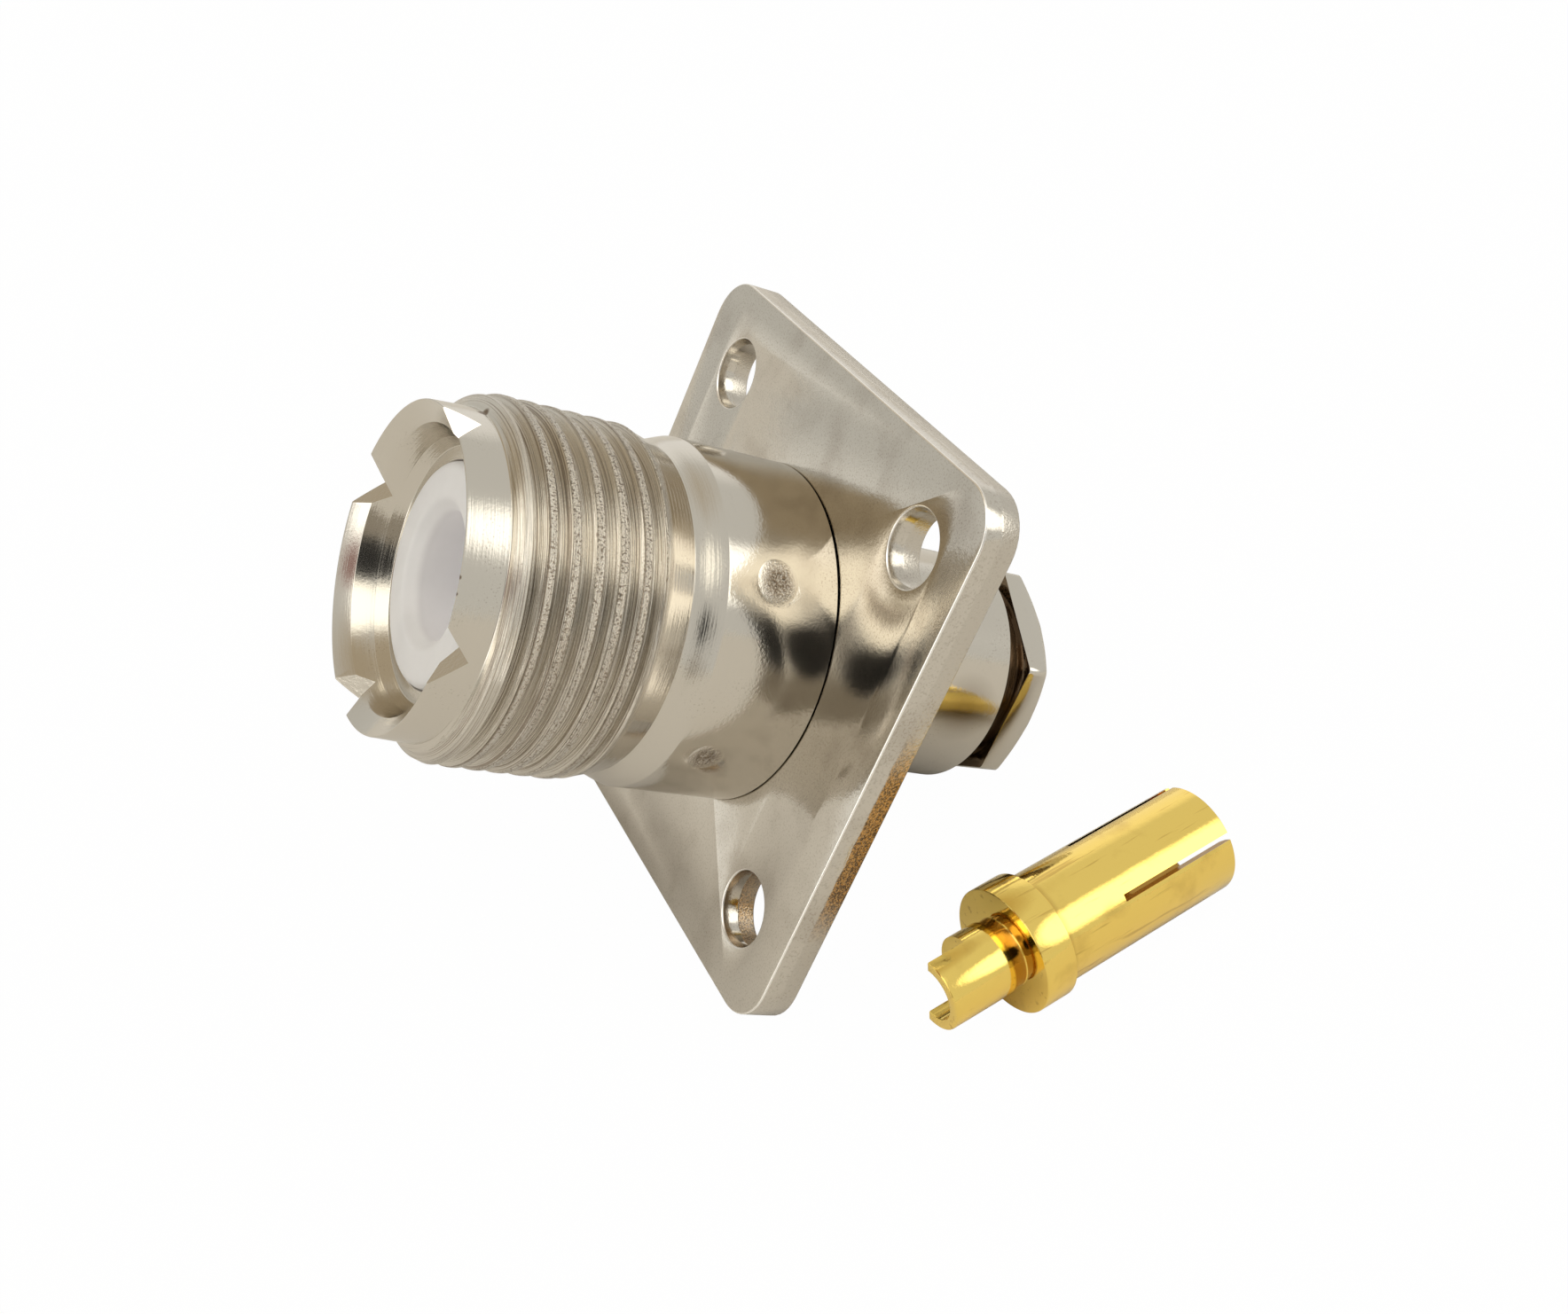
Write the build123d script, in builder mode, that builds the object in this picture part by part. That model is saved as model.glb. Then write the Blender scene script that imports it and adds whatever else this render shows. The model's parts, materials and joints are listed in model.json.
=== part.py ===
"""A clamp-type UHF panel jack with its centre contact lying beside it, in millimetres.

The row frame has +Z up from the table and its origin at the middle of the flange's front face.
The jack lies as it comes to rest: on the flange's lower rear edge and one corner of the clamp nut.
Every turned piece is drawn as radius against height along the jack's axis, where height 0 is the
flange's front face, the mating end is positive and the cable end is negative.
"""

import os
from math import atan2, cos, degrees, radians, sin, sqrt, tan

from build123d import *

# Flange
FLANGE_SIDE = 26.1
FLANGE_THICKNESS = 1.75
FLANGE_CORNER_RADIUS = 2.2
FLANGE_EDGE_BREAK = 0.12
MOUNT_HOLE_SPACING = 18.3
MOUNT_HOLE_DIAMETER = 3.4

# Shell, outside
THREAD_DIAMETER = 15.8
THREAD_START = 15.0
THREAD_END = 7.6
THREAD_DEPTH = 0.6
BARREL_DIAMETER = 15.8
SHOULDER_HEIGHT = 5.55
RELIEF_DIAMETER = 14.8
RELIEF_HEIGHT = 6.9
NOSE_DIAMETER = 14.25
NOSE_HEIGHT = 16.9
NOSE_TAPER = 0.08
REAR_BARREL_DIAMETER = 11.0
REAR_BARREL_LENGTH = 11.9
REAR_BARREL_EDGE = 0.15
FLANGE_LAND_DIAMETER = 11.3

# Shell, inside
MOUTH_EDGE_DEPTH = 0.6
MOUTH_EDGE_WIDTH = 0.86
MOUTH_FLOOR = 14.85
FRONT_INSULATOR_DIAMETER = 9.7
FRONT_INSULATOR_FACE = 15.2
SHELL_LEDGE = 3.2
SHELL_BORE_DIAMETER = 8.6

# Notches that keep a mating plug from turning
NOTCH_ANGLES = (-4.6, 83.5, 173.0, 268.5)
NOTCH_WIDTH = 2.63
NOTCH_DEPTH = 1.27

# Centre contact
CONTACT_DIAMETER = 5.2
CONTACT_LENGTH = 9.85
CONTACT_BORE = 4.0
CONTACT_BORE_DEPTH = 8.5
CONTACT_BORE_LEAD = 0.2
SLOT_COUNT = 4
SLOT_WIDTH = 0.34
SLOT_LENGTH = 6.35
SLOT_ANGLE = 53.0
COLLAR_DIAMETER = 5.9
COLLAR_LENGTH = 1.65
COLLAR_EDGE = 0.08
NECK_DIAMETER = 3.2
NECK_LENGTH = 0.6
TAIL_DIAMETER = 3.4
TAIL_LENGTH = 3.35
CUP_BORE = 2.4
CUP_DEPTH = 2.9
CUP_OPENING_LENGTH = 1.95
CUP_CUT_OFFSET = 0.18

# Where the loose contact lies: the front middle of its collar, and its turn on the table
CONTACT_X = 6.05
CONTACT_Y = -15.75
CONTACT_YAW = 10.9

# Insulators
CONTACT_CLEARANCE = 0.15
MOUTH_CHAMFER = 0.15
COLLAR_CLEARANCE = 0.1
REAR_INSULATOR_LENGTH = 4.2
TAIL_CLEARANCE = 0.2

# Cable clamp
CLAMP_FLANGE_THICKNESS = 0.8
CLAMP_CONE_LENGTH = 2.6
CLAMP_CONE_LARGE = 5.6
CLAMP_CONE_SMALL = 4.4
DIELECTRIC_BORE = 3.2
CABLE_BORE = 5.1
GASKET_LENGTH = 3.2
GASKET_GROOVE_ANGLE = 45.0
WASHER_THICKNESS = 0.6
WASHER_BORE = 6.2
NUT_THREAD_DIAMETER = 9.0
NUT_SHANK_LENGTH = 5.2
NUT_ACROSS_FLATS = 9.7
NUT_HEX_LENGTH = 1.5
NUT_CORNER_LENGTH = 1.05
NUT_GAP = 1.1
NUT_MOUTH_CHAMFER = 0.3

# Clearances
SLIP_FIT = 0.05
LOOSE_FIT = 0.1
TIGHTENING_TRAVEL = 0.4

# Radii and heights worked out from the sizes above
thread_radius = THREAD_DIAMETER / 2
barrel_radius = BARREL_DIAMETER / 2
nose_radius = NOSE_DIAMETER / 2
insulator_radius = FRONT_INSULATOR_DIAMETER / 2
insulator_seat_radius = insulator_radius + SLIP_FIT
shell_bore_radius = SHELL_BORE_DIAMETER / 2
rear_barrel_radius = REAR_BARREL_DIAMETER / 2
inner_piece_radius = shell_bore_radius - LOOSE_FIT
nut_thread_radius = NUT_THREAD_DIAMETER / 2
nut_corner_radius = NUT_ACROSS_FLATS / sqrt(3)
cable_radius = CABLE_BORE / 2
contact_hole_radius = CONTACT_DIAMETER / 2 + CONTACT_CLEARANCE
contact_seat = FRONT_INSULATOR_FACE - CONTACT_LENGTH - 2 * CONTACT_CLEARANCE
rear_insulator_end = SHELL_LEDGE - REAR_INSULATOR_LENGTH
clamp_end = rear_insulator_end - CLAMP_FLANGE_THICKNESS
nut_front = -REAR_BARREL_LENGTH - NUT_GAP
nut_corner_end = nut_front - NUT_CORNER_LENGTH
shank_end = nut_front + NUT_SHANK_LENGTH
washer_front = shank_end + WASHER_THICKNESS
gasket_rear = washer_front + TIGHTENING_TRAVEL
gasket_front = gasket_rear + GASKET_LENGTH

# The table touches the flange's lower rear edge and the rear end of the nut's lowest corner
tilt = atan2(FLANGE_SIDE / 2 - nut_corner_radius, -nut_corner_end - FLANGE_THICKNESS)
table_z = -FLANGE_SIDE / 2 * cos(tilt) - FLANGE_THICKNESS * sin(tilt)

jack = Plane(origin=(0, 0, 0), x_dir=(sin(tilt), 0, cos(tilt)), z_dir=(-cos(tilt), 0, sin(tilt)))


def lying_contact_plane():
    """Frame of the loose contact, which lies on its collar's rim and its open end's rim."""
    radius_drop = (COLLAR_DIAMETER - CONTACT_DIAMETER) / 2
    dip = atan2(radius_drop, CONTACT_LENGTH)
    yaw = radians(CONTACT_YAW)
    along = Vector(cos(dip) * cos(yaw), cos(dip) * sin(yaw), -sin(dip))
    up = Vector(sin(dip) * cos(yaw), sin(dip) * sin(yaw), cos(dip))
    centre = (CONTACT_X, CONTACT_Y, table_z + COLLAR_DIAMETER / 2 * cos(dip))
    return Plane(origin=centre, x_dir=up, z_dir=along)


def section_plane(frame):
    """Plane through a frame's axis, with radius along its x and height along its y."""
    return Plane(origin=frame.origin, x_dir=frame.x_dir, z_dir=-frame.y_dir)


def axis_of(frame):
    """The axis that a frame's turned pieces share."""
    return Axis(frame.origin, frame.z_dir)


def cross_plane(frame, height, angle):
    """Plane along a frame's axis at a height, turned about the axis, with height along its y."""
    outward = frame.x_dir * cos(radians(angle)) + frame.y_dir * sin(radians(angle))
    around = frame.z_dir.cross(outward)
    return Plane(origin=frame.origin + frame.z_dir * height, x_dir=around, z_dir=outward)


def make_shell():
    """Turned body: notched nose, threaded length, relief, barrel, flange land and clamp barrel."""
    mouth_radius = nose_radius - NOSE_TAPER - MOUTH_EDGE_WIDTH
    thread_root = thread_radius - THREAD_DEPTH
    with BuildPart() as shell:
        with BuildSketch(section_plane(jack)):
            with BuildLine():
                Polyline(
                    (insulator_seat_radius, MOUTH_FLOOR),
                    (mouth_radius, MOUTH_FLOOR),
                    (mouth_radius, NOSE_HEIGHT - MOUTH_EDGE_DEPTH),
                    (nose_radius - NOSE_TAPER, NOSE_HEIGHT),
                    (nose_radius, THREAD_START + THREAD_DEPTH),
                    (thread_root, THREAD_START + THREAD_DEPTH / 2),
                    (thread_radius, THREAD_START - THREAD_DEPTH / 2),
                    (thread_radius, THREAD_END),
                    (RELIEF_DIAMETER / 2, RELIEF_HEIGHT),
                    (barrel_radius, SHOULDER_HEIGHT),
                    (barrel_radius, 0),
                    (FLANGE_LAND_DIAMETER / 2, 0),
                    (FLANGE_LAND_DIAMETER / 2, -FLANGE_THICKNESS),
                    (rear_barrel_radius, -FLANGE_THICKNESS),
                    (rear_barrel_radius, -REAR_BARREL_LENGTH + REAR_BARREL_EDGE),
                    (rear_barrel_radius - REAR_BARREL_EDGE, -REAR_BARREL_LENGTH),
                    (nut_thread_radius + SLIP_FIT, -REAR_BARREL_LENGTH),
                    (nut_thread_radius + SLIP_FIT, gasket_rear),
                    (shell_bore_radius, gasket_rear),
                    (shell_bore_radius, SHELL_LEDGE),
                    (insulator_seat_radius, SHELL_LEDGE),
                    close=True,
                )
            make_face()
        revolve(axis=axis_of(jack))
        for angle in NOTCH_ANGLES:
            with BuildSketch(cross_plane(jack, NOSE_HEIGHT, angle)):
                with BuildLine():
                    Polyline(
                        (-NOTCH_WIDTH, NOTCH_DEPTH),
                        (0, -NOTCH_DEPTH),
                        (NOTCH_WIDTH, NOTCH_DEPTH),
                        close=True,
                    )
                make_face()
            extrude(amount=barrel_radius, mode=Mode.SUBTRACT)
    return shell.part


def make_flange():
    """Square mounting plate, pressed onto the shell's land from behind."""
    with BuildPart() as flange:
        with BuildSketch(jack):
            RectangleRounded(FLANGE_SIDE, FLANGE_SIDE, FLANGE_CORNER_RADIUS)
            Circle(FLANGE_LAND_DIAMETER / 2, mode=Mode.SUBTRACT)
            with GridLocations(MOUNT_HOLE_SPACING, MOUNT_HOLE_SPACING, 2, 2):
                Circle(MOUNT_HOLE_DIAMETER / 2, mode=Mode.SUBTRACT)
        extrude(amount=-FLANGE_THICKNESS)
        front = flange.faces().sort_by(axis_of(jack))[-1]
        chamfer(front.outer_wire().edges(), FLANGE_EDGE_BREAK)
    return flange.part


def make_front_insulator():
    """White sleeve that holds the contact's barrel, with a pocket behind for its collar."""
    pocket_radius = COLLAR_DIAMETER / 2 + COLLAR_CLEARANCE
    with BuildPart() as insulator:
        with BuildSketch(section_plane(jack)):
            with BuildLine():
                Polyline(
                    (contact_hole_radius + MOUTH_CHAMFER, FRONT_INSULATOR_FACE),
                    (insulator_radius, FRONT_INSULATOR_FACE),
                    (insulator_radius, SHELL_LEDGE),
                    (pocket_radius, SHELL_LEDGE),
                    (pocket_radius, contact_seat),
                    (contact_hole_radius, contact_seat),
                    (contact_hole_radius, FRONT_INSULATOR_FACE - MOUTH_CHAMFER),
                    close=True,
                )
            make_face()
        revolve(axis=axis_of(jack))
    return insulator.part


def make_rear_insulator():
    """White plug behind the contact's collar, with a hole for the solder tail."""
    with BuildPart() as insulator:
        with BuildSketch(jack.offset(SHELL_LEDGE)):
            Circle(inner_piece_radius)
            Circle(TAIL_DIAMETER / 2 + TAIL_CLEARANCE, mode=Mode.SUBTRACT)
        extrude(amount=-REAR_INSULATOR_LENGTH)
    return insulator.part


def make_braid_clamp():
    """Flanged cone that the cable's braid is folded over."""
    with BuildPart() as clamp:
        with BuildSketch(section_plane(jack)):
            with BuildLine():
                Polyline(
                    (DIELECTRIC_BORE / 2, rear_insulator_end),
                    (inner_piece_radius, rear_insulator_end),
                    (inner_piece_radius, clamp_end),
                    (CLAMP_CONE_LARGE / 2, clamp_end),
                    (CLAMP_CONE_SMALL / 2, clamp_end - CLAMP_CONE_LENGTH),
                    (DIELECTRIC_BORE / 2, clamp_end - CLAMP_CONE_LENGTH),
                    close=True,
                )
            make_face()
        revolve(axis=axis_of(jack))
    return clamp.part


def make_gasket():
    """Rubber ring that grips the cable jacket, with a V groove in its front face."""
    wall = inner_piece_radius - cable_radius
    groove_depth = wall / 4 * tan(radians(GASKET_GROOVE_ANGLE))
    with BuildPart() as gasket:
        with BuildSketch(section_plane(jack)):
            with BuildLine():
                Polyline(
                    (cable_radius, gasket_rear),
                    (inner_piece_radius, gasket_rear),
                    (inner_piece_radius, gasket_front),
                    (inner_piece_radius - wall / 4, gasket_front),
                    (inner_piece_radius - wall / 2, gasket_front - groove_depth),
                    (cable_radius + wall / 4, gasket_front),
                    (cable_radius, gasket_front),
                    close=True,
                )
            make_face()
        revolve(axis=axis_of(jack))
    return gasket.part


def make_slip_washer():
    """Thin ring between nut and gasket, so that the turning nut doesn't twist the gasket."""
    with BuildPart() as washer:
        with BuildSketch(jack.offset(shank_end)):
            Circle(inner_piece_radius)
            Circle(WASHER_BORE / 2, mode=Mode.SUBTRACT)
        extrude(amount=WASHER_THICKNESS)
    return washer.part


def make_clamp_nut():
    """Hollow gland nut: threaded shank and a hexagon with its rear corners turned off."""
    nut_rear = nut_front - NUT_HEX_LENGTH
    chamfer_run = NUT_HEX_LENGTH - NUT_CORNER_LENGTH
    with BuildPart() as nut:
        with BuildSketch(jack.offset(nut_front)):
            RegularPolygon(nut_corner_radius, 6)
        extrude(amount=-NUT_HEX_LENGTH)
        with BuildSketch(section_plane(jack)):
            with BuildLine():
                Polyline(
                    (0, nut_front),
                    (nut_corner_radius, nut_front),
                    (nut_corner_radius, nut_corner_end),
                    (nut_corner_radius - chamfer_run / tan(radians(30)), nut_rear),
                    (0, nut_rear),
                    close=True,
                )
            make_face()
        revolve(axis=axis_of(jack), mode=Mode.INTERSECT)
        with BuildSketch(jack.offset(nut_front)):
            Circle(nut_thread_radius)
        extrude(amount=NUT_SHANK_LENGTH)
        shank_face = nut.faces().sort_by(axis_of(jack))[-1]
        chamfer(shank_face.outer_wire().edges(), NUT_MOUTH_CHAMFER)
        with BuildSketch(jack.offset(nut_rear)):
            Circle(cable_radius)
        extrude(amount=NUT_HEX_LENGTH + NUT_SHANK_LENGTH, mode=Mode.SUBTRACT)
        rear_face = nut.faces().sort_by(axis_of(jack))[0]
        chamfer(rear_face.inner_wires().edges(), NUT_MOUTH_CHAMFER)
    return nut.part


def make_contact():
    """Gold-plated centre contact: slotted socket, collar, neck and half-open solder cup."""
    frame = lying_contact_plane()
    tail_start = -COLLAR_LENGTH - NECK_LENGTH
    tail_end = tail_start - TAIL_LENGTH
    with BuildPart() as contact:
        with BuildSketch(section_plane(frame)):
            with BuildLine():
                Polyline(
                    (0, CONTACT_LENGTH - CONTACT_BORE_DEPTH),
                    (CONTACT_BORE / 2, CONTACT_LENGTH - CONTACT_BORE_DEPTH),
                    (CONTACT_BORE / 2, CONTACT_LENGTH - CONTACT_BORE_LEAD),
                    (CONTACT_BORE / 2 + CONTACT_BORE_LEAD, CONTACT_LENGTH),
                    (CONTACT_DIAMETER / 2, CONTACT_LENGTH),
                    (CONTACT_DIAMETER / 2, 0),
                    (COLLAR_DIAMETER / 2, 0),
                    (COLLAR_DIAMETER / 2, COLLAR_EDGE - COLLAR_LENGTH),
                    (COLLAR_DIAMETER / 2 - COLLAR_EDGE, -COLLAR_LENGTH),
                    (NECK_DIAMETER / 2, -COLLAR_LENGTH),
                    (NECK_DIAMETER / 2, tail_start),
                    (TAIL_DIAMETER / 2, tail_start),
                    (TAIL_DIAMETER / 2, tail_end),
                    (CUP_BORE / 2, tail_end),
                    (CUP_BORE / 2, tail_end + CUP_DEPTH),
                    (0, tail_end + CUP_DEPTH),
                    close=True,
                )
            make_face()
        revolve(axis=axis_of(frame))
        for slot in range(SLOT_COUNT // 2):
            slot_plane = cross_plane(frame, CONTACT_LENGTH, SLOT_ANGLE + 360 / SLOT_COUNT * slot)
            with BuildSketch(slot_plane):
                Rectangle(SLOT_WIDTH, 2 * SLOT_LENGTH)
            extrude(amount=CONTACT_DIAMETER, both=True, mode=Mode.SUBTRACT)
        with BuildSketch(frame.offset(tail_end)):
            with Locations((0, -CUP_CUT_OFFSET)):
                Rectangle(2 * TAIL_DIAMETER, TAIL_DIAMETER, align=(Align.CENTER, Align.MAX))
        extrude(amount=CUP_OPENING_LENGTH, mode=Mode.SUBTRACT)
    return contact.part


pieces = {
    "shell": make_shell(),
    "flange": make_flange(),
    "front_insulator": make_front_insulator(),
    "rear_insulator": make_rear_insulator(),
    "braid_clamp": make_braid_clamp(),
    "gasket": make_gasket(),
    "slip_washer": make_slip_washer(),
    "clamp_nut": make_clamp_nut(),
    "centre_contact": make_contact(),
}

os.makedirs("parts", exist_ok=True)
for name, piece in pieces.items():
    piece.label = name
    export_step(piece, f"parts/{name}.step")

print("tilt", round(degrees(tilt), 3), "table", round(table_z, 3))
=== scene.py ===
"""Looks of the UHF panel jack and of the centre contact that lies beside it.

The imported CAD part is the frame. Each piece is drawn in its own frame, which has the turning axis
along Z, and its mesh is then put in place in the row frame, in metres.
"""

import json
from math import ceil, cos, pi, radians, sin, sqrt, tan

import bmesh
import bpy
import numpy as np
from bpy.props import FloatProperty, FloatVectorProperty, PointerProperty
from mathutils import Matrix, Vector


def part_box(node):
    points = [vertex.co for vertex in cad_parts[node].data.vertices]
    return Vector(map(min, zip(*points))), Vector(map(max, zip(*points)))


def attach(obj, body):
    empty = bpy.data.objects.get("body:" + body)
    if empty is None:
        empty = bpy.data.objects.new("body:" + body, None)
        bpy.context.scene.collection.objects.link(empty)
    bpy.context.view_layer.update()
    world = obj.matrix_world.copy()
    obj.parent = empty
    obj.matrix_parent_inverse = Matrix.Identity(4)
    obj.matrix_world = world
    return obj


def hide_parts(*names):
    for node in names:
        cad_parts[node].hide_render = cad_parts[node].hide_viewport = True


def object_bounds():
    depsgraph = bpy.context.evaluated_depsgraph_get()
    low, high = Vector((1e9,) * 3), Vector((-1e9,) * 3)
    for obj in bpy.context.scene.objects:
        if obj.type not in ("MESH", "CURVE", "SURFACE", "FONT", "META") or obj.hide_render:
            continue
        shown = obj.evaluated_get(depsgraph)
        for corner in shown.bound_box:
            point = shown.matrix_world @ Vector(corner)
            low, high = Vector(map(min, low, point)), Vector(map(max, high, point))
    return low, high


bl_info = {
    "name": "Panel Jack Looks",
    "version": (1, 0, 0),
    "blender": (4, 5, 0),
    "location": "3D View > Sidebar > Jack",
    "description": "Builds the visible pieces of a coaxial panel jack around its packed CAD frame",
    "category": "Add Mesh",
}

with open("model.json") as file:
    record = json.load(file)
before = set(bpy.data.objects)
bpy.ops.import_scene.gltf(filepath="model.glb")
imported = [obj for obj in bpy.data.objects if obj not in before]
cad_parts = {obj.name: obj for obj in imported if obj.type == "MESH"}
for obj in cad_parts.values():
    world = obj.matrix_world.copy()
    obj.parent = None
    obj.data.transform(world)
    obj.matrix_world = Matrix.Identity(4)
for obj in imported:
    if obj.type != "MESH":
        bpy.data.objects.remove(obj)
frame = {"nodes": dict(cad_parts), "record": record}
CAD_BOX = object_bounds()
MOUNTS = {mount["name"]: mount for mount in frame["record"]["mounts"]}
MM = 0.001
MICRON = 0.000001


# Frames of the two turned things


def turn_to(axis, across):
    """Matrix that turns Z to the axis and Y across it."""
    return Matrix((across.cross(axis), across, axis)).transposed().to_4x4()


def jack_frame():
    """Matrix of the jack: X up within the flange, Z along the axis to the mating end."""
    return turn_to(Vector(MOUNTS["panel_holes"]["axis"]), Vector((0, 1, 0)))


def contact_frame():
    """Matrix of the loose contact: Z towards its open end, Y towards the camera's side."""
    socket = MOUNTS["pin_socket"]
    axis = Vector(socket["axis"])
    across = axis.cross(Vector((0, 0, 1))).normalized()
    return Matrix.Translation(Vector(socket["pos_m"])) @ turn_to(axis, across)


JACK = jack_frame()
SOCKET = contact_frame()


# Numbers that more than one function needs

SEGMENTS = 360
TURN = np.linspace(0, 2 * pi, SEGMENTS, endpoint=False)
LAND_RADIUS = 5.65 * MM  # the shell's land, pressed into the flange
SLEEVE_SEAT = 3.2 * MM  # height of the shoulder that the white sleeve sits on

# Stake marks: height in mm, turn in degrees, size and depth of the dent in mm, radius of its stain in mm
STAKES = ((3.14, -49, 0.64, 0.045, 1.0), (3.88, -110.6, 0.6, 0.05, 0.8))

# Centre and radius in mm of stained nicks, of a brown spot of painted reflection on the rear barrel, where
# it mirrors the gold contact, and of spots of painted reflection of the contact on the plate's sheared side
NICKS = (
    ((5.55, -5.63, 11.76), 0.17),
    ((3.0, -6.38, 16.9), 0.12),
    ((2.4, -6.62, 16.9), 0.1),
    ((7.1, 0.9, 15.1), 0.3),
)
BARREL_REFLECTION_SPOT = ((0.5, -5.5, -9.8), 1.9)
PLATE_REFLECTION_SPOTS = (((-2.6, -13.05, -1.7), 5.4), ((-9.15, -9.15, -0.9), 2.3))

# Panels in the room: azimuth and elevation, angles from there to the core's and the edge's rim, colour
ROOM_PANELS = (
    ((-155, 27), 15, 36, (1.2, 1.18, 1.12)),
    ((118, 9), 9, 22, (0.64, 0.63, 0.59)),
    ((140, -7), 7, 22, (1.1, 1.08, 1.02)),
    ((105, 62), 22, 42, (0.5, 0.42, 0.3)),
    ((-165, 60), 12, 24, (2.5, 2.45, 2.3)),
    ((-142, 42), 5, 12, (0.5, 0.48, 0.45)),
    ((-124, 6), 14, 26, (0.34, 0.3, 0.24)),
    ((-160, 5), 5, 12, (3.2, 3.15, 3.0)),
    ((179, 32), 5, 10, (0.3, 0.15, 0.13)),
    ((-178, 14), 5, 11, (2.2, 2.15, 2.05)),
    ((-95, 67), 12, 23, (2.05, 1.97, 1.75)),
    ((-33, 29), 13, 22, (2.3, 2.26, 2.12)),
    ((56, 8), 14, 26, (0.96, 0.94, 0.9)),
    ((-108, 32), 13, 19, (0.015, 0.015, 0.015)),
)


# Sizes and colours


def length(mm, description):
    """A length property, stated in millimetres and kept in metres."""
    return FloatProperty(description=description, default=mm * MM, min=0, precision=5, unit="LENGTH")


def height(mm, description):
    """A height along the jack's axis from the flange's front face, which may be negative."""
    return FloatProperty(description=description, default=mm * MM, precision=5, unit="LENGTH")


def angle(degrees, description):
    """An angle property, stated in degrees and kept in radians."""
    return FloatProperty(description=description, default=radians(degrees), subtype="ANGLE")


def colour(value, description):
    return FloatVectorProperty(description=description, default=value, subtype="COLOR", min=0, max=1)


class JackSizes(bpy.types.PropertyGroup):
    """Sizes of the shell, flange and insulator."""

    barrel_radius: length(MOUNTS["coupling_thread"]["dims"]["r_mm"], "Barrel and thread crests")
    thread_pitch: length(25.4 / 24, "Advance of the coupling thread in one turn")
    thread_depth: length(0.55, "Crest to root of the coupling thread")
    thread_crest: length(0.2, "Width of the flat on each thread crest")
    thread_place: height(14.771, "Height of one crest on the frame's X side")
    thread_end: height(8.2, "Height at which the last thread groove runs out")
    thread_tears: length(0.0015, "Size of the torn specks on the crest edges")
    thread_ripple: length(0.009, "Height of the tool lines along the thread")
    lead_in_radius: length(7.38, "Radius at the front of the thread's lead-in")
    nose_radius: length(7.125, "Radius of the smooth nose behind its rim")
    nose_height: height(16.9, "Height of the notched rim")
    nose_root: height(15.02, "Height at which the nose meets the lead-in")
    mouth_depth: length(0.6, "Drop of the rim's inward slope")
    mouth_width: length(0.86, "Width of the rim's inward slope")
    wall_slope: angle(25, "Lean of the mouth's wall")
    insulator_radius: length(4.85, "Outside of the white sleeve")
    insulator_face: height(15.2, "Height of the white sleeve's open face")
    relief_radius: length(7.4, "Smallest radius of the relief behind the thread")
    relief_height: height(6.9, "Height of the relief's smallest radius")
    shoulder_height: height(5.55, "Front edge of the plain barrel")
    mouth_floor: height(14.85, "Height of the flat ledge round the white sleeve")
    notch_depth: length(1.27, "Depth of the V notches in the rim")
    notch_width: length(2.63, "Width of each V notch at the rim")
    notch_angles: FloatVectorProperty(
        description="Turn of each notch round the axis",
        size=4,
        default=(radians(-4.6), radians(83.5), radians(173.0), radians(268.5)),
        unit="ROTATION",
    )
    flange_thickness: length(1.75, "Thickness of the square plate")
    flange_corner: length(2.2, "Rounding of the plate's corners")
    rear_radius: length(5.5, "Outside of the clamp barrel")
    rear_end: height(-11.9, "Height of the clamp barrel's open end")
    seam_gap: length(0.06, "Undercut where the barrel stands on the plate")
    edge_round: length(0.06, "Rounding of the turned edges")


class NutSizes(bpy.types.PropertyGroup):
    """Sizes of the clamp nut."""

    hex_front: height(-13.0, "Height of the hexagon's front face")
    hex_length: length(1.5, "Thickness of the hexagon")
    corner_length: length(1.05, "Straight part of the hexagon's corners")
    shank_radius: length(4.5, "Radius of the shank's thread crests")
    shank_length: length(5.2, "Length of the threaded shank")
    thread_pitch: length(0.75, "Advance of the shank's thread in one turn")
    thread_depth: length(0.38, "Crest to root of the shank's thread")


class ContactSizes(bpy.types.PropertyGroup):
    """Sizes of the loose centre contact."""

    socket_radius: length(2.592, "Outside of the slotted socket")
    socket_length: length(9.85, "Collar's front to the open end")
    bore_depth: length(8.5, "Depth of the socket's bore")
    collar_radius: length(2.942, "Outside of the collar")
    collar_length: length(1.65, "Length of the collar")
    neck_radius: length(1.6, "Groove behind the collar")
    neck_length: length(0.6, "Length of that groove")
    tail_radius: length(1.7, "Outside of the solder cup")
    tail_length: length(3.35, "Length of the solder cup")
    cup_radius: length(1.2, "Bore of the solder cup")
    cup_depth: length(2.9, "Depth of the solder cup's bore")
    cup_opening: length(1.95, "Length over which the cup's far half is cut away")
    cup_offset: length(0.18, "Distance of that cut from the axis")
    slot_width: length(0.34, "Width of the socket's slots")
    slot_length: length(6.35, "Length of the socket's slots")
    slot_angle: angle(53, "Turn of the first slot")


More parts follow.
